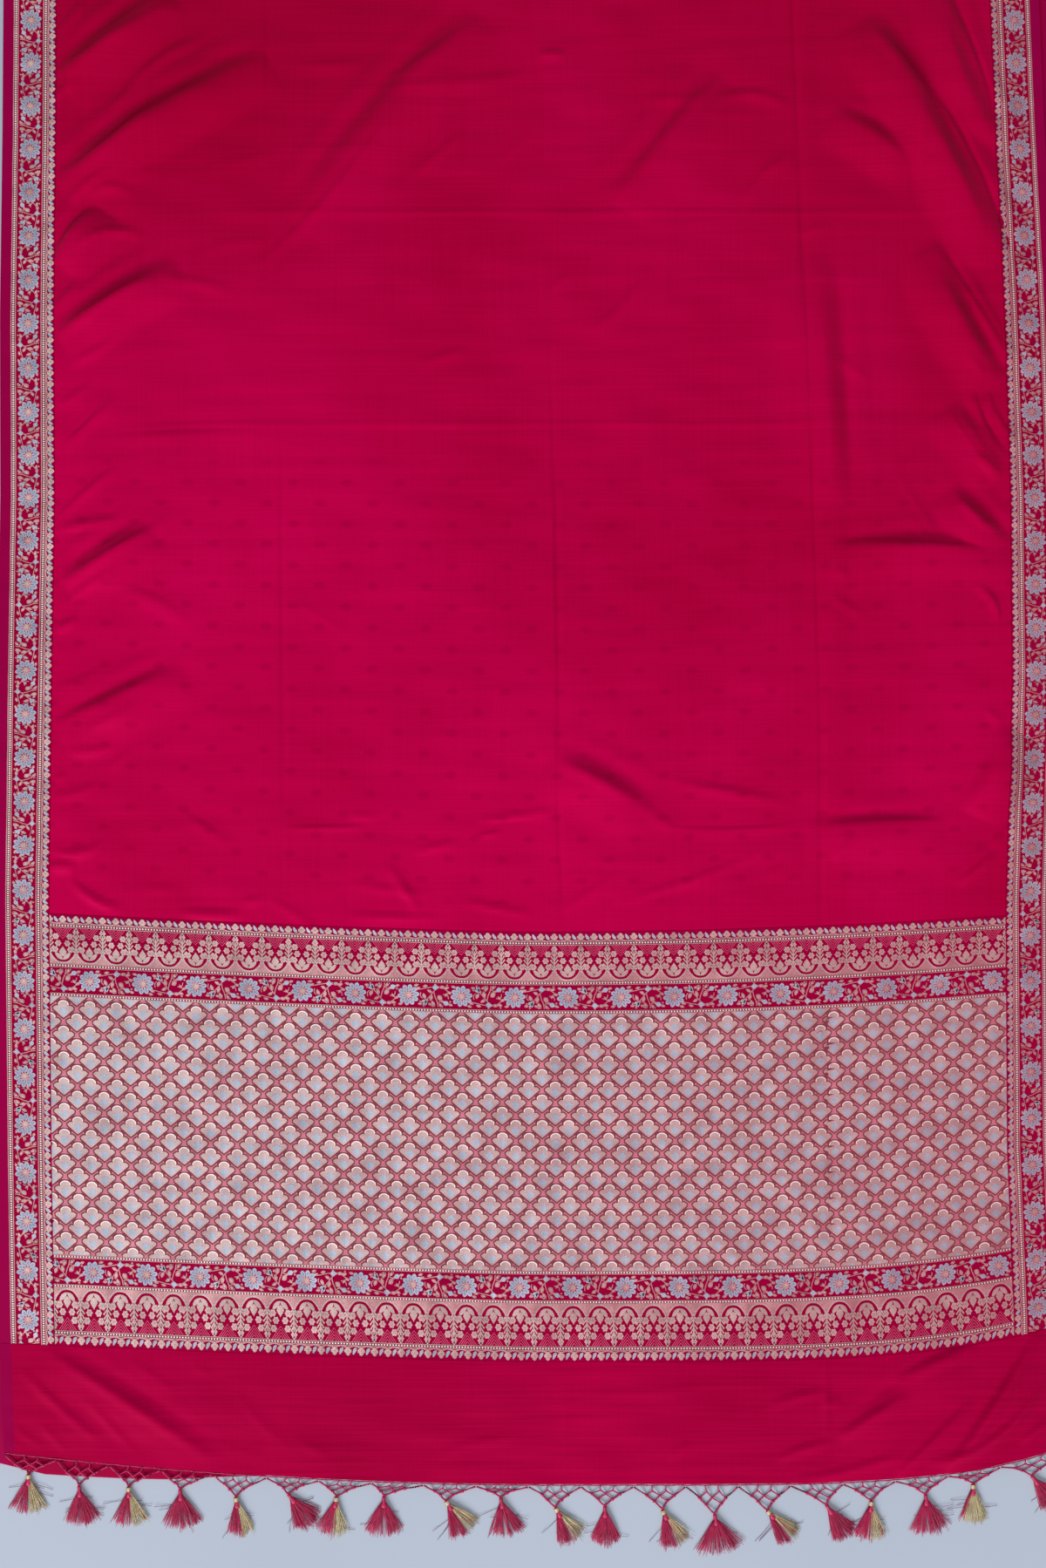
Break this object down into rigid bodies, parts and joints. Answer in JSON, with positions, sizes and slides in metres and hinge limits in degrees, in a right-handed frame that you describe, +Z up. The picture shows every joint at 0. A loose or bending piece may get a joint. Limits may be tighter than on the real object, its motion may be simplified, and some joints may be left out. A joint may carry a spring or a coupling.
{
  "type": "saree",
  "caption": "Crimson silk saree folded flat, with woven flower borders, a brocade end panel and a knotted net fringe with tassels",
  "frame": {"origin": "middle of the folded saree on the surface that it lies on", "axes": "+Z up, X across the cloth, Y along it with the fringed end towards -Y"},
  "size_m": [1.1442, 1.9029, 0.0139],
  "materials": {
    "crimson_silk": "satin silk with a soft sheen and a fine weave",
    "zari_border": "crimson silk with rose gold and silver metallic thread",
    "zari_brocade": "crimson silk brocaded with rose gold, pale gold and silver thread",
    "crimson_thread": "knotted crimson silk thread",
    "gold_thread": "metallic gold thread"
  },
  "bodies": {
    "root": {"field": "crimson_silk", "border_left": "zari_border", "border_right": "zari_border", "pallu": "zari_brocade", "plain_end": "crimson_silk", "folded_layers": "crimson_silk", "knotted_net": "crimson_thread", "tassel_01": "crimson_thread", "tassel_02": "crimson_thread", "tassel_03": "crimson_thread", "tassel_04": "crimson_thread", "tassel_05": "crimson_thread", "tassel_06": "crimson_thread", "tassel_07": "crimson_thread", "tassel_08": "crimson_thread", "tassel_09": "crimson_thread", "tassel_10": "crimson_thread", "tassel_11": "crimson_thread", "tassel_12": "crimson_thread", "tassel_13": "crimson_thread", "tassel_14": "crimson_thread", "tassel_15": "crimson_thread", "tassel_16": "crimson_thread", "tassel_17": "crimson_thread", "tassel_18": "crimson_thread", "tassel_19": "crimson_thread", "tassel_20": "crimson_thread", "gold_wrap_01": "gold_thread", "gold_wrap_03": "gold_thread", "gold_wrap_05": "gold_thread", "gold_wrap_07": "gold_thread", "gold_wrap_09": "gold_thread", "gold_wrap_11": "gold_thread", "gold_wrap_13": "gold_thread", "gold_wrap_15": "gold_thread", "gold_wrap_17": "gold_thread", "gold_wrap_19": "gold_thread"}
  },
  "joints": []
}
